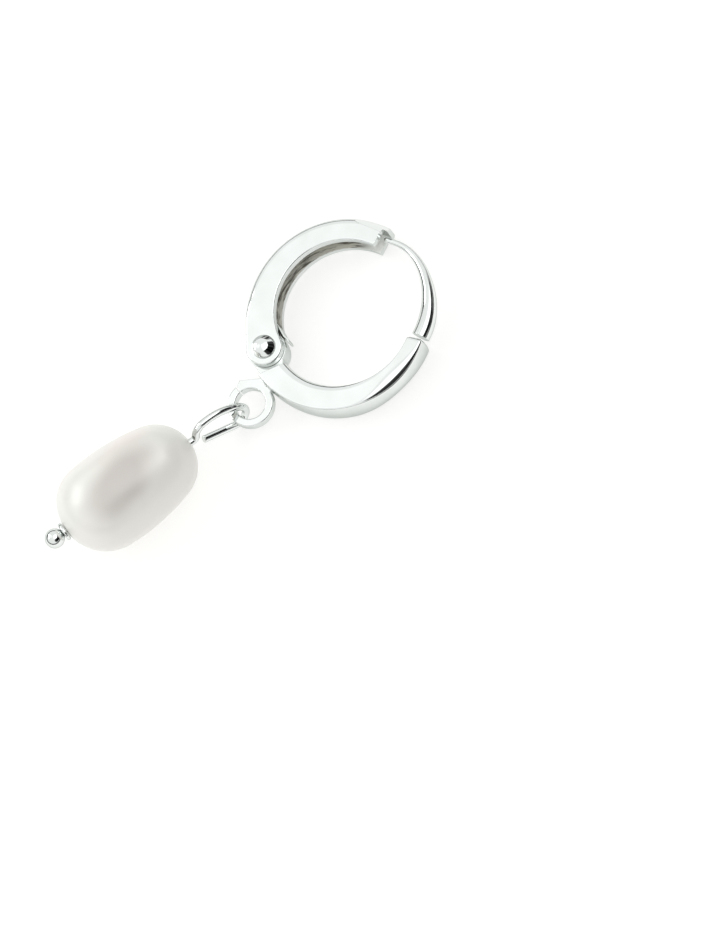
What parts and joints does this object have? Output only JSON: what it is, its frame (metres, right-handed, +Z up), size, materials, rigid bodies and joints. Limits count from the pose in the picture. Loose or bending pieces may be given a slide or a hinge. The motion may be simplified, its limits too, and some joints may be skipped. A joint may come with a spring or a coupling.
{
  "type": "pearl drop earring",
  "caption": "Leverback hoop earring in polished white metal with a hanging oval freshwater pearl, lying on its side",
  "frame": {"origin": "On the surface the earring lies on, under the middle of its box.", "axes": "+X runs from the drop to the hoop, +Y from the lower body of the hoop to the lever's back, +Z up, along the hinge pin."},
  "size_m": [0.0304, 0.0126, 0.0065],
  "materials": {
    "plated_metal": "polished rhodium plate over cast brass",
    "nacre": "satin nacre of a white freshwater pearl"
  },
  "bodies": {
    "hoop": {"hoop_body": "plated_metal", "head_pin": "plated_metal", "spacer": "plated_metal", "pearl": "nacre"},
    "lever": {"lever": "plated_metal", "leaf_spring": "plated_metal", "hinge_pin": "plated_metal"}
  },
  "joints": [
    {"name": "lever_hinge", "type": "hinge", "parent": "hoop", "child": "lever", "pos_m": [0.00383, 0.00194, 0], "axis": [0, 0, 1], "range_deg": [0, 60]}
  ]
}
